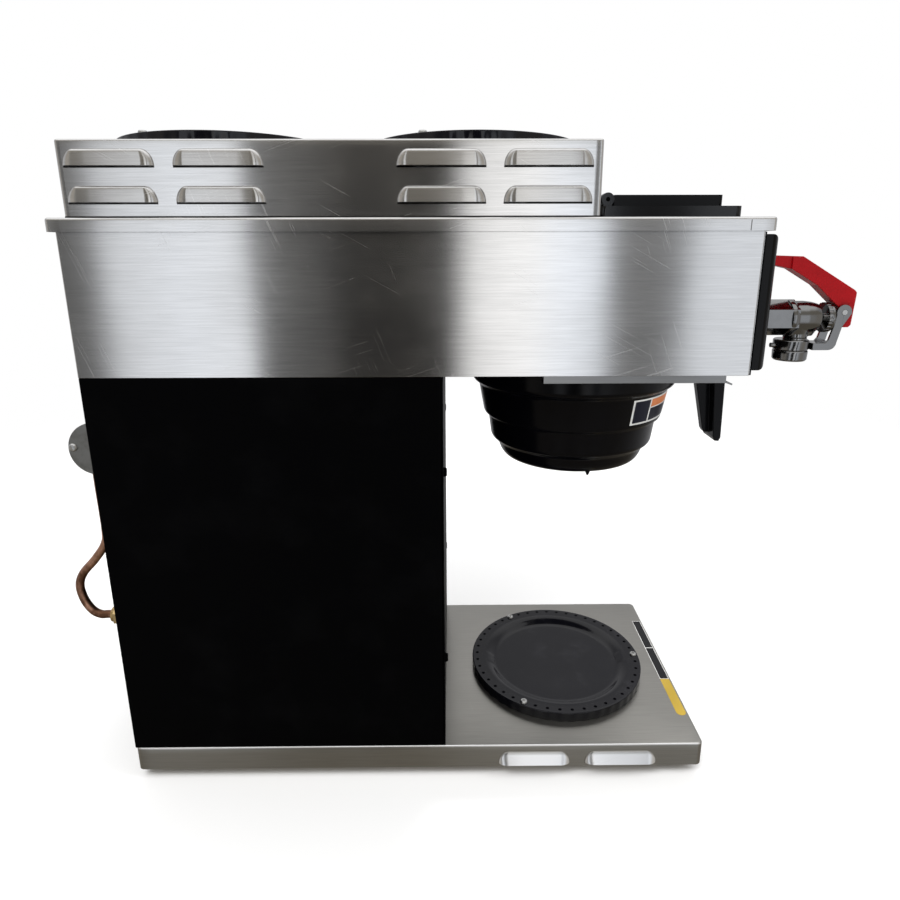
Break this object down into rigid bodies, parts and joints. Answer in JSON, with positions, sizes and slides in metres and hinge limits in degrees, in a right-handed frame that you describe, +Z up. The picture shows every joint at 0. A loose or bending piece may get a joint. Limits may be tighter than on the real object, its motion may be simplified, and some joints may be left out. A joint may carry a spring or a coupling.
{
  "type": "commercial coffee brewer",
  "caption": "Countertop drip coffee brewer with warmers on deck and base, slide-out funnel, pour-in lid, rocker switches and a hot-water faucet.",
  "frame": {"origin": "middle of the machine's bounding box in X and Y, on the surface that the rubber feet stand on", "axes": "+X to the front, where the faucet is, +Y to the user's right when facing the front, +Z up"},
  "size_m": [0.6108, 0.2248, 0.5103],
  "materials": {
    "stainless": "long-grain brushed stainless sheet with soft reflections",
    "deck_stainless": "fine matte brushed stainless deck",
    "black_paint": "smooth satin black powder coat",
    "black_enamel": "glossy black porcelain enamel on steel",
    "black_plastic": "satin moulded black plastic",
    "funnel_plastic": "semi-gloss moulded black plastic",
    "chromed_brass": "polished chrome plate",
    "zinc_steel": "zinc-plated steel",
    "grey_steel": "dull grey plated steel",
    "red_plastic": "red moulded plastic",
    "copper_tube": "slightly tarnished copper tube",
    "yellow_brass": "machined brass",
    "black_rubber": "matte black rubber",
    "orange_silicone": "matte silicone rubber",
    "white_plastic": "matte white plastic",
    "green_board": "green fibre-glass circuit board",
    "heater_sheath": "dull heater sheath",
    "lamp_red": "translucent red lens"
  },
  "bodies": {
    "root": {"base_deck": "deck_stainless", "base_pan": "zinc_steel", "rubber_feet": "black_rubber", "foot_screws": "zinc_steel", "trunk_body": "black_paint", "trunk_front_cover": "black_paint", "trunk_screws": "black_paint", "hood_shell": "stainless", "hood_floor": "stainless", "hood_top_cover": "stainless", "front_chassis_plate": "black_paint", "front_panel": "black_plastic", "upper_warmer_housing": "stainless", "lower_warmer_plate": "black_enamel", "upper_rear_warmer_plate": "black_enamel", "upper_front_warmer_plate": "black_enamel", "warmer_elements": "heater_sheath", "warmer_screws": "zinc_steel", "funnel_rails": "stainless", "sprayhead": "white_plastic", "sprayhead_tube": "copper_tube", "pour_in_basin": "black_plastic", "lid_hinge_pin": "zinc_steel", "tank_shell": "stainless", "tank_lid": "stainless", "tank_gasket": "orange_silicone", "immersion_heater": "heater_sheath", "thermostat_bulb": "copper_tube", "control_thermostat": "zinc_steel", "limit_thermostat": "black_plastic", "tank_feed_tube": "copper_tube", "inlet_tube": "copper_tube", "bulkhead_fitting": "yellow_brass", "inlet_valve_bracket": "grey_steel", "inlet_valve_body": "yellow_brass", "inlet_valve_coil": "black_plastic", "bracket_screws": "zinc_steel", "cord_grommet": "black_rubber", "control_board": "green_board", "terminal_block": "white_plastic", "switch_bodies": "black_plastic", "faucet_shank": "chromed_brass", "faucet_body": "chromed_brass", "faucet_collar": "chromed_brass", "faucet_outlet": "chromed_brass", "faucet_yoke": "chromed_brass", "faucet_supply_tube": "copper_tube", "handle_pivot_pin": "zinc_steel", "ready_light": "lamp_red"},
    "funnel": {"brew_funnel": "funnel_plastic", "funnel_handle": "funnel_plastic"},
    "lid": {"pour_in_lid": "black_plastic"},
    "tap_handle": {"faucet_handle": "red_plastic"},
    "tap_stem": {"faucet_stem": "zinc_steel"},
    "plunger": {"valve_plunger": "zinc_steel"},
    "power_switch": {"power_rocker": "black_plastic"},
    "start_switch": {"start_rocker": "black_plastic"},
    "lower_warmer_switch": {"lower_warmer_rocker": "red_plastic"},
    "upper_front_warmer_switch": {"upper_front_warmer_rocker": "red_plastic"},
    "upper_rear_warmer_switch": {"upper_rear_warmer_rocker": "red_plastic"}
  },
  "joints": [
    {"name": "funnel_slide", "type": "slide", "parent": "root", "child": "funnel", "axis": [1, 0, 0], "range_m": [0, 0.2]},
    {"name": "lid_hinge", "type": "hinge", "parent": "root", "child": "lid", "pos_m": [0.10425, 0, 0.4624], "axis": [0, -1, 0], "range_deg": [0, 92]},
    {"name": "tap_handle_pivot", "type": "hinge", "parent": "root", "child": "tap_handle", "pos_m": [0.29655, -0.055, 0.382], "axis": [0, 1, 0], "range_deg": [0, 35], "stiffness_Nm_per_rad": 1, "springref_deg": -14.32},
    {"name": "tap_stem_slide", "type": "slide", "parent": "root", "child": "tap_stem", "axis": [-1, 0, 0], "range_m": [0, 0.004]},
    {"name": "plunger_lift", "type": "slide", "parent": "root", "child": "plunger", "axis": [0, 0, 1], "range_m": [0, 0.002], "stiffness_N_per_m": 300, "springref_m": -0.002},
    {"name": "power_rock", "type": "hinge", "parent": "root", "child": "power_switch", "pos_m": [0.21835, 0.04, 0.414], "axis": [0, 1, 0], "range_deg": [0, 16]},
    {"name": "start_rock", "type": "hinge", "parent": "root", "child": "start_switch", "pos_m": [0.21835, 0.066, 0.414], "axis": [0, 1, 0], "range_deg": [0, 12], "stiffness_Nm_per_rad": 0.04, "springref_deg": -8.59},
    {"name": "lower_warmer_rock", "type": "hinge", "parent": "root", "child": "lower_warmer_switch", "pos_m": [0.21835, 0.014, 0.374], "axis": [0, 1, 0], "range_deg": [0, 16]},
    {"name": "upper_front_warmer_rock", "type": "hinge", "parent": "root", "child": "upper_front_warmer_switch", "pos_m": [0.21835, 0.04, 0.374], "axis": [0, 1, 0], "range_deg": [0, 16]},
    {"name": "upper_rear_warmer_rock", "type": "hinge", "parent": "root", "child": "upper_rear_warmer_switch", "pos_m": [0.21835, 0.066, 0.374], "axis": [0, 1, 0], "range_deg": [0, 16]}
  ],
  "couplings": [
    {"joint": "tap_stem_slide", "follows": "tap_handle_pivot", "m_per_rad": 0.006}
  ]
}
